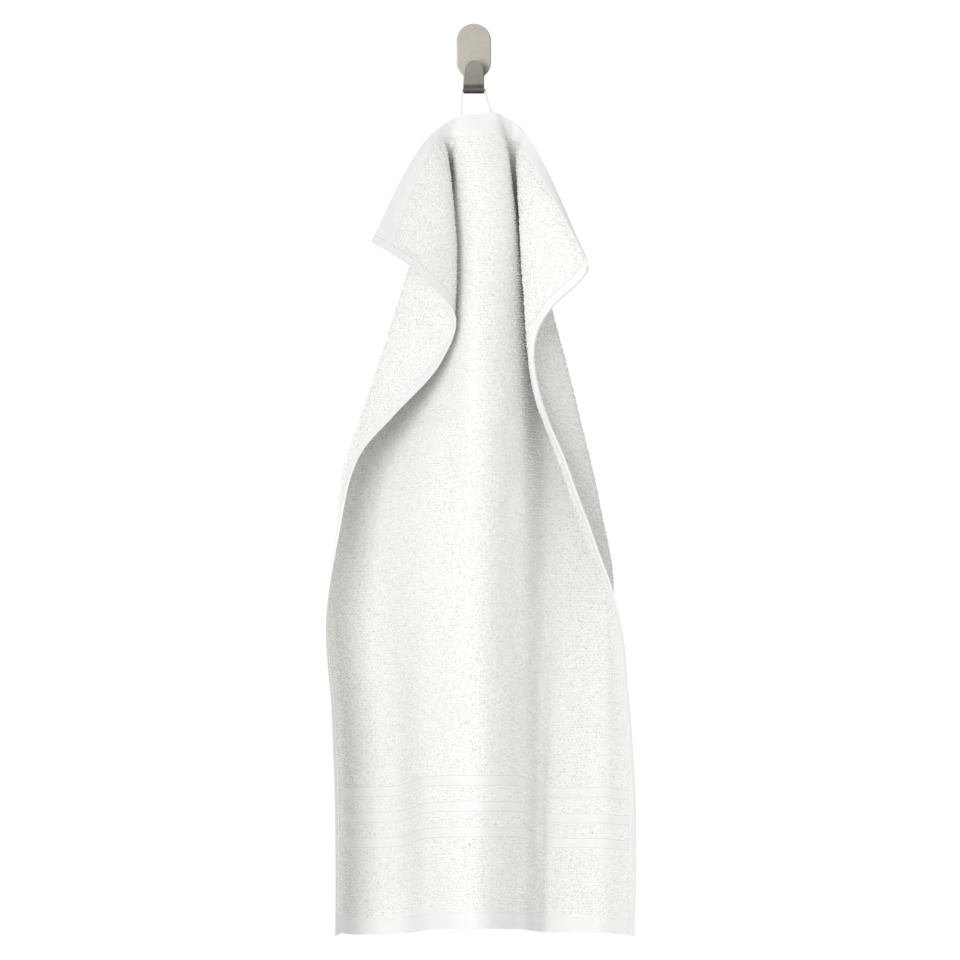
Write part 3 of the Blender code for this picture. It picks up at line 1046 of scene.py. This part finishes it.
@dataclass
class TerryPile:
    """The pile: rows of small loops on both faces of the cloth."""

    drape: Drape
    row_pitch: float = 2.4
    loop_pitch: float = 2.0
    loop_half_wide: float = 1.05
    loop_half_deep: float = 0.95
    loop_height: float = 1.05
    root: float = 0.6
    edge_clear: float = 1.1
    unevenness: float = 0.3
    tone_spread: float = 0.27
    # Each loop's tone runs from dark at its root to light at its tip, painted shade where the loops hide
    # each other; tone_spread adds a random tone per loop
    shaded_root_tone: float = 0.1
    lit_tip_tone: float = 0.74
    row_spread: float = 0.35
    slide_share: float = 0.45
    lean_spread: float = 0.3
    droop: float = 0.35
    bud_sides: int = 3
    bud_foot: float = 0.4
    weld: float = 0.0001
    seed: int = 7

    def loop_shape(self) -> tuple[np.ndarray, np.ndarray]:
        """One pile loop, a small closed bud with a pointed foot.

        Returns:
            Its points at unit size, from 0 at its base to 1 at its tip, and its triangles.
        """
        bud = bmesh.new()
        tall = 1.0
        bmesh.ops.create_cone(
            bud, cap_ends=True, segments=self.bud_sides, radius1=1.0, radius2=0.0, depth=tall
        )
        base = min(bud.faces, key=lambda face: face.normal.z)
        bmesh.ops.poke(bud, faces=[base], offset=self.bud_foot)
        bmesh.ops.triangulate(bud, faces=bud.faces[:])
        bmesh.ops.remove_doubles(bud, verts=bud.verts[:], dist=self.weld)
        bmesh.ops.recalc_face_normals(bud, faces=bud.faces[:])
        bud.verts.index_update()
        points = np.array([vert.co[:] for vert in bud.verts]) + (0.0, 0.0, tall / 2)
        triangles = np.array([[vert.index for vert in face.verts] for face in bud.faces])
        bud.free()
        return points, triangles

    def rows(self) -> np.ndarray:
        """Places of the pile's rows.

        Returns:
            Distances from the top edge, on all of the cloth but its hems and its flat bands.
        """
        stops = self.drape.edges()
        places: list[float] = []
        for low, high in zip(stops[::2], stops[1::2]):
            first, last = low + self.edge_clear, high - self.edge_clear
            count = int((last - first) / self.row_pitch) + 1
            places += list(np.linspace(first, last, count))
        return np.array(places)

    def build(self, side: Side, finish: bpy.types.Material) -> list[bpy.types.Object]:
        """Builds the pile of one face.

        Args:
            side: the cloth's face.
            finish: the pile's material.

        Returns:
            The joined pieces, from the top down.
        """
        drape = self.drape
        chance = np.random.default_rng(self.seed + side.value)
        inner = drape.width / 2 - drape.side_hem - self.edge_clear
        across = np.arange(-inner, inner + self.loop_pitch / 2, self.loop_pitch)
        downs = self.rows()
        places = np.array([drape.row_points(down, across) for down in downs])
        shape = places.shape[:2]
        grid_across = np.repeat(across[None, :], shape[0], axis=0)
        grid_down = np.repeat(downs[:, None], shape[1], axis=1)
        places = drape.raised(places, grid_across, grid_down)
        along = unit(np.gradient(places, axis=1))
        outward = drape.normals(places) * side.value
        below = unit(np.cross(along, outward)) * side.value
        below = np.where((below[..., 2:] > 0), -below, below)
        slide = chance.uniform(-self.slide_share, self.slide_share, shape) * self.loop_pitch
        stray = chance.normal(0, self.row_spread, shape)
        places = places + along * slide[..., None] + below * stray[..., None]
        template, triangles = self.loop_shape()
        names = ("upper", "middle", "lower")
        made = []
        for name, part in zip(names, np.array_split(np.arange(shape[0]), len(names))):
            made.append(
                self.join_loops(
                    f"pile_{side.name.lower()}_{name}", template, triangles, finish, chance,
                    places[part], along[part], outward[part], below[part],
                )
            )
        return made

    def join_loops(
        self,
        name: str,
        template: np.ndarray,
        triangles: np.ndarray,
        finish: bpy.types.Material,
        chance: np.random.Generator,
        places: np.ndarray,
        along: np.ndarray,
        outward: np.ndarray,
        below: np.ndarray,
    ) -> bpy.types.Object:
        """Joins one loop at each place into a single piece.

        Args:
            name: the piece's name.
            template: one loop's points at unit size.
            triangles: the loop's triangles.
            finish: the pile's material.
            chance: the source of its unevenness.
            places: where the loops stand.
            along: directions along the rows.
            outward: directions out of the cloth.
            below: directions down the cloth.

        Returns:
            The joined piece.
        """
        count = places.shape[0] * places.shape[1]
        place, u, n, v = (block.reshape(count, 1, 3) for block in (places, along, outward, below))
        size = chance.uniform(1.0 - self.unevenness, 1.0 + self.unevenness, (count, 1, 1))
        turn = chance.uniform(0.0, 2 * math.pi, (count, 1))
        lean = chance.normal(0.0, self.lean_spread, (count, 1, 2)) + (0.0, self.droop)
        x = template[:, 0] * np.cos(turn) - template[:, 1] * np.sin(turn)
        y = template[:, 0] * np.sin(turn) + template[:, 1] * np.cos(turn)
        z = np.repeat(template[None, :, 2], count, axis=0)
        wide = (x * self.loop_half_wide)[..., None] * size
        deep = (y * self.loop_half_deep)[..., None] * size
        high = self.root + (z * self.loop_height)[..., None] * size
        tip = np.clip(z, 0.0, 1.0)[..., None]
        offset = u * (wide + tip * lean[..., 0:1]) + v * (deep + tip * lean[..., 1:2]) + n * high
        points = (place + offset) * MM
        corners = triangles[None] + (np.arange(count) * len(template))[:, None, None]
        mesh = bpy.data.meshes.new(name)
        mesh.from_pydata(points.reshape(-1, 3), [], corners.reshape(-1, 3))
        # The tip attribute holds painted shade, dark at each loop's root and light at its tip, plus a
        # random tone per loop
        shade = mesh.attributes.new("tip", "FLOAT", "POINT")
        spread = chance.uniform(-self.tone_spread, self.tone_spread, (count, 1))
        tone = np.clip(self.shaded_root_tone + (self.lit_tip_tone - self.shaded_root_tone) * tip[..., 0] + spread, 0.0, 1.0)
        shade.data.foreach_set("value", tone.astype(np.float32).ravel())
        return link(name, mesh, finish)


@dataclass
class HemStitches:
    """Lockstitches along the inner edges of all four hems, on both faces."""

    drape: Drape
    stitch: float = 3.0
    gap: float = 0.7
    radius: float = 0.3
    from_edge: float = 1.6
    proud: float = 1.12
    sides: int = 5
    reach: float = 1.0
    rows: dict[float, tuple[np.ndarray, np.ndarray]] = field(default_factory=dict)

    def line(self, side: Side) -> list[tuple[np.ndarray, np.ndarray]]:
        """The stitches' ends.

        Args:
            side: the cloth's face.

        Returns:
            The two ends of each stitch.
        """
        drape = self.drape
        left, right = -drape.width / 2 + drape.side_hem, drape.width / 2 - drape.side_hem
        top, bottom = drape.top_hem, drape.length - drape.bottom_hem
        inset = self.from_edge
        spots: list[tuple[float, float, float, float]] = []
        for down in (top - inset, bottom + inset):
            for start in np.arange(left, right - self.stitch, self.stitch):
                spots.append((start, down, start + self.stitch - self.gap, down))
        for across in (left - inset, right + inset):
            for start in np.arange(top, bottom - self.stitch, self.stitch):
                spots.append((across, start, across, start + self.stitch - self.gap))
        return [(self.on_face(u0, v0, side), self.on_face(u1, v1, side)) for u0, v0, u1, v1 in spots]

    def on_face(self, across: float, down: float, side: Side) -> np.ndarray:
        """A point just off the cloth's face.

        Args:
            across: distance to the right of the cloth's middle.
            down: distance from its top edge.
            side: the cloth's face.

        Returns:
            The point.
        """
        drape = self.drape
        block = np.array([self.row_points(across, down + d) for d in (-self.reach, 0.0, self.reach)])
        normal = drape.normals(block)[1, 1]
        lift = drape.rise(np.array([across]), np.array([down]))[0] + self.proud * side.value
        return block[1, 1] + normal * lift

    def row_points(self, across: float, down: float) -> np.ndarray:
        """Three neighbouring points of a row, each of which is worked out once.

        Args:
            across: the middle one's distance to the right of the cloth's middle.
            down: the row's distance from the top edge.

        Returns:
            The points.
        """
        key = round(down, 3)
        if key not in self.rows:
            self.rows[key] = self.drape.row_curve(down)
        curve, run = self.rows[key]
        wanted = self.drape.length_at(run, across + self.reach * np.arange(-1, 2))
        return on_curve(curve, run, wanted)

    def build(self, side: Side, finish: bpy.types.Material) -> bpy.types.Object:
        """Builds the stitches of one face.

        Args:
            side: the cloth's face.
            finish: the thread's material.

        Returns:
            The joined stitches.
        """
        sewing = bmesh.new()
        for start, end in self.line(side):
            low, high = Vector(start) * MM, Vector(end) * MM
            turn = (high - low).to_track_quat("Z", "Y").to_matrix().to_4x4()
            turn.translation = (low + high) / 2
            stitch = bmesh.ops.create_cone(
                sewing, cap_ends=True, segments=self.sides, radius1=self.radius * MM,
                radius2=self.radius * MM, depth=(high - low).length, matrix=turn,
            )
            caps = {f for vert in stitch["verts"] for f in vert.link_faces if len(f.verts) == self.sides}
            bmesh.ops.poke(sewing, faces=list(caps), offset=self.radius * MM)
        mesh = bpy.data.meshes.new("stitches")
        sewing.to_mesh(mesh)
        sewing.free()
        mesh.shade_smooth()
        return link(f"hem_stitches_{side.name.lower()}", mesh, finish)


@dataclass
class HangingLoop:
    """The tape that hangs over the hook, sewn on the back of the top hem."""

    drape: Drape
    width: float = 10.0
    thickness: float = 0.75
    seated_on: float = 1.7
    seat_gap: float = 0.75
    cup_radius: float = 8.1
    columns: int = 12
    steps: int = 10
    end_across: tuple[float, float] = (-13.0, 9.0)
    end_down: tuple[float, float] = (15.5, 11.5)
    solid_thickness: float = 0.8
    reach: float = 1.0
    edge_round: float = 0.12
    edge_steps: int = 2
    least_edge: float = 60.0

    def end(self, across: float, down: float) -> tuple[np.ndarray, np.ndarray]:
        """Where a sewn end of the tape lies.

        Args:
            across: the end's middle on the cloth.
            down: its distance from the top edge.

        Returns:
            The middle of the tape there, and its width direction.
        """
        half = self.width / 2
        places = np.array([across - half, across, across + half])
        left, middle, right = self.drape.row_points(down, places)
        below = self.drape.row_points(down + self.reach, places)[1]
        along = unit(right - left)
        inward = unit(np.cross(below - middle, along))
        if inward[1] < 0:
            inward = -inward
        chord = (left + right) / 2
        nearest = max(middle, chord, key=lambda spot: float(spot @ inward))
        lift = self.seated_on / 2 + self.seat_gap + self.solid_thickness / 2
        return nearest + inward * lift, along

    def sections(self) -> tuple[np.ndarray, np.ndarray, np.ndarray]:
        """The tape's sections along its whole length.

        Returns:
            Their middles, the directions of their widths, and how far each is cupped.
        """
        left, right = self.end_across
        sewn = [self.end(left, down) for down in self.end_down]
        free = []
        for point in TAPE_ROUTE:
            middle = np.array([point.across, -point.out, -point.drop])
            free.append((middle, unit(np.array([point.turn, 1.0 - point.turn, 0.0]))))
        last = [self.end(right, down) for down in reversed(self.end_down)]
        middles, widths = zip(*sewn, *free, *last)
        cups = [0.0] * len(sewn) + [point.cup for point in TAPE_ROUTE] + [0.0] * len(last)
        return np.array(middles), np.array(widths), np.array(cups)[:, None]

    def build(self, finish: bpy.types.Material) -> tuple[bpy.types.Object, float]:
        """Builds the tape.

        Args:
            finish: the tape's material.

        Returns:
            The piece, and the tape's flat length in metres.
        """
        middles, widths, cups = self.sections()
        knots = run_along(middles)
        fine = np.arange((len(middles) - 1) * self.steps + 1) / self.steps
        where = np.interp(fine, np.arange(len(middles)), knots)
        spine = smooth_curve(knots, middles, where)
        width = unit(smooth_curve(knots, widths, where))
        cup = smooth_curve(knots, cups, where)
        place = self.width * (np.arange(self.columns + 1) / self.columns - 0.5)
        rise = self.cup_radius - np.sqrt(self.cup_radius**2 - place**2)
        rows = spine[:, None, :] + width[:, None, :] * place[None, :, None]
        rows[..., 2] += cup * rise[None, :]
        run = run_along(spine)
        uv = np.zeros((*rows.shape[:2], 2))
        uv[..., 0] = place[None, :] / self.width + 0.5
        uv[..., 1] = (run / run[-1])[:, None]
        mesh = grid_mesh("tape_loop", rows, uv)
        mesh.uv_layers[0].name = "tape"
        piece = link("tape_loop", mesh, finish)
        thicken(piece, self.thickness, self.edge_round, self.edge_steps, self.least_edge)
        return piece, float(run[-1]) * MM


@dataclass
class WallHook:
    """The hook: one strip of steel, a plate with round ends bent to a J below it."""

    thickness: float = 1.5
    plate_width: float = 30.0
    plate_top: float = 24.0
    stem_width: float = 18.0
    bend_radius: float = 9.25
    lowest: float = 37.0
    tongue_width: float = 16.0
    tongue_top: float = 9.5
    tongue_lean: float = 12.0
    columns: int = 24
    edge_round: float = 0.35
    edge_steps: int = 3
    least_edge: float = 50.0
    plate_end: float = 88.5
    tongue_end: float = 88.0
    plate_steps: int = 30
    neck_steps: int = 18
    bend_steps: int = 40
    tongue_steps: int = 24

    def half_width(self, height: float) -> float:
        """Half the strip's width at a height of its plate or stem.

        Args:
            height: the height above the plate's middle.

        Returns:
            The half width.
        """
        radius = self.plate_width / 2
        over = max(0.0, abs(height) - (self.plate_top - radius))
        plate = math.sqrt(max(0.0, radius**2 - over**2))
        return max(plate, self.stem_width / 2) if height < 0 else plate

    def stations(self) -> list[tuple[float, float, float]]:
        """Places along the strip, from the plate's top to the tongue's tip.

        Returns:
            For each its half width, its distance out of the wall and its height.
        """
        middle, radius = self.thickness / 2, self.plate_width / 2
        bend_height = -(self.lowest - middle - self.bend_radius)
        round_start = self.plate_top - radius
        found = []
        for angle in np.radians(np.linspace(self.plate_end, 0.0, self.plate_steps)):
            height = round_start + radius * math.sin(angle)
            found.append((self.half_width(height), middle, height))
        neck = math.acos(self.stem_width / self.plate_width)
        for angle in np.linspace(0.0, neck, self.neck_steps):
            height = -(round_start + radius * math.sin(angle))
            found.append((self.half_width(height), middle, height))
        lean = math.radians(self.tongue_lean)
        for angle in np.linspace(0.0, math.pi - lean, self.bend_steps):
            out = middle + self.bend_radius * (1 - math.cos(angle))
            height = bend_height - self.bend_radius * math.sin(angle)
            found.append((self.stem_width / 2, out, height))
        tip = self.tongue_width / 2
        straight = (-self.tongue_top - height) / math.cos(lean) - tip
        for angle in np.radians(np.linspace(0.0, self.tongue_end, self.tongue_steps)):
            run = straight + tip * math.sin(angle)
            spot = (out + run * math.sin(lean), height + run * math.cos(lean))
            found.append((tip * math.cos(angle), *spot))
        return found

    def build(self, finish: bpy.types.Material) -> bpy.types.Object:
        """Builds the hook.

        Args:
            finish: the steel's material.

        Returns:
            The finished piece.
        """
        places = 2 * np.arange(self.columns + 1) / self.columns - 1
        rows = np.array([[(half * p, -out, high) for p in places] for half, out, high in self.stations()])
        piece = link("steel_hook", grid_mesh("steel_hook", rows), finish)
        thicken(piece, self.thickness, self.edge_round, self.edge_steps, self.least_edge)
        return piece


@dataclass
class Studio:
    """A plain white studio: a pale floor, a far white backdrop, soft light, and the camera."""

    eye: tuple[float, float, float] = (0.0054, -5.03, -0.3707)
    lens: float = 218.0
    sensor: float = 36.0
    floor_height: float = -1.5
    ambient: float = 0.8
    key_power: float = 23.5
    key_size: float = 0.8
    key_from: tuple[float, float, float] = (-0.7, -2.0, -0.1)
    aim: tuple[float, float, float] = (0.0, -0.05, -0.4)
    clip: tuple[float, float] = (0.1, 100.0)
    half_size: float = 6.0
    backdrop_behind: float = 8.0
    # Two dark cards that only reflections see, painted reflected shade on the steel hook: one below in
    # front, one behind; dark is their grey
    card_half_size: float = 1.5
    low_shade_card_at: tuple[float, float, float] = (0.0, -1.7, -1.0)
    far_shade_card_at: tuple[float, float, float] = (0.0, 0.3, -1.6)
    feel: Feel = Feel(0.9)
    pale: float = 0.85
    dark: float = 0.03

    def plain(self, name: str, color: float, glow: float = 0.0) -> bpy.types.Material:
        """A plain grey material for what stands around the towel.

        Args:
            name: the material's name.
            color: its grey, from 0 to 1.
            glow: how bright it glows by itself.

        Returns:
            The material.
        """
        nodes = Nodes(name, (color, color, color), self.feel)
        nodes.shader.inputs["Emission Color"].default_value = (1.0, 1.0, 1.0, 1.0)
        nodes.shader.inputs["Emission Strength"].default_value = glow
        return nodes.material

    def sheet(
        self, name: str, size: float, center: tuple[float, float, float], upright: bool,
        finish: bpy.types.Material,
    ) -> bpy.types.Object:
        """A square sheet of floor, backdrop or card.

        Args:
            name: its name.
            size: half its side.
            center: its middle.
            upright: whether it stands and faces the viewer.
            finish: its material.

        Returns:
            The linked sheet.
        """
        plane = bmesh.new()
        bmesh.ops.create_grid(plane, x_segments=1, y_segments=1, size=size)
        if upright:
            for vert in plane.verts:
                vert.co = Vector((vert.co.x, 0.0, vert.co.y))
        bmesh.ops.translate(plane, verts=plane.verts[:], vec=center)
        mesh = bpy.data.meshes.new(name)
        plane.to_mesh(mesh)
        plane.free()
        return link(name, mesh, finish)

    def build(self) -> None:
        """Builds the floor, the backdrop, the dark cards of painted reflected shade, the lights and the
        camera.
        """
        scene = bpy.context.scene
        pale, white = self.plain("pale_floor", self.pale), self.plain("white_backdrop", 0.0, 1.0)
        floor = self.sheet("floor", self.half_size, (0.0, 0.0, self.floor_height), False, pale)
        behind = (0.0, self.backdrop_behind, 0.0)
        backdrop = self.sheet("backdrop", self.half_size, behind, True, white)
        backdrop.visible_diffuse = False
        backdrop.visible_glossy = False
        backdrop.visible_shadow = False
        # Painted reflected shade: dark cards that neither the camera nor diffuse light nor shadows see, so
        # the hook's steel reflects dark below and behind it
        dark = self.plain("reflected_shade_card", self.dark)
        low_shade_card = self.sheet("low_shade_card", self.card_half_size, self.low_shade_card_at, False, dark)
        far_shade_card = self.sheet("far_shade_card", self.card_half_size, self.far_shade_card_at, True, dark)
        for card in (low_shade_card, far_shade_card):
            card.visible_camera = False
            card.visible_diffuse = False
            card.visible_shadow = False
        world = bpy.data.worlds.new("studio_air")
        world.use_nodes = True
        air = world.node_tree.nodes["Background"]
        air.inputs["Color"].default_value = (1.0, 1.0, 1.0, 1.0)
        air.inputs["Strength"].default_value = self.ambient
        scene.world = world
        scene.view_settings.view_transform = "Standard"
        self.key_light()
        eye = bpy.data.cameras.new("eye")
        eye.lens = self.lens
        eye.sensor_width = self.sensor
        eye.clip_start, eye.clip_end = self.clip
        camera = bpy.data.objects.new("eye", eye)
        camera.location = self.eye
        camera.rotation_euler = (math.radians(90), 0.0, 0.0)
        scene.collection.objects.link(camera)
        scene.camera = camera

    def key_light(self) -> None:
        """A square soft light that faces the towel from the front and a little from the left."""
        light = bpy.data.lights.new("key", "AREA")
        light.size = self.key_size
        light.energy = self.key_power
        lamp = bpy.data.objects.new("key", light)
        lamp.location = self.key_from
        towards = Vector(self.aim) - Vector(self.key_from)
        lamp.rotation_euler = towards.to_track_quat("-Z", "Y").to_euler()
        bpy.context.scene.collection.objects.link(lamp)


def ride(piece: bpy.types.Object) -> None:
    """Fixes a piece to the part's one body, and reports it.

    Args:
        piece: the finished piece.
    """
    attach(piece, BODY)
    triangles = sum(len(face.vertices) - 2 for face in piece.data.polygons)
    LOG.info("%s: %d triangles", piece.name, triangles)


def main() -> None:
    """Builds the towel, its loop, the hook and the studio."""
    logging.basicConfig(level=logging.INFO, format="%(message)s")
    drape = Drape()
    cotton = CottonFinish(drape)
    steel = SatinSteelFinish()
    Studio().build()

    hook = WallHook().build(steel.make())
    ride(hook)
    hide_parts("hook")

    loop, loop_length = HangingLoop(drape).build(cotton.tape())
    ride(loop)
    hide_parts("hanging_loop")

    sheet = TowelSheet(drape).build(cotton)
    ride(sheet)
    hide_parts("towel_cloth")

    trimmings = []
    pile_finish, thread = cotton.pile(), cotton.thread()
    for side in Side:
        trimmings += TerryPile(drape).build(side, pile_finish)
        trimmings.append(HemStitches(drape).build(side, thread))
    for piece in trimmings:
        ride(piece)


if __name__ == "__main__":
    main()
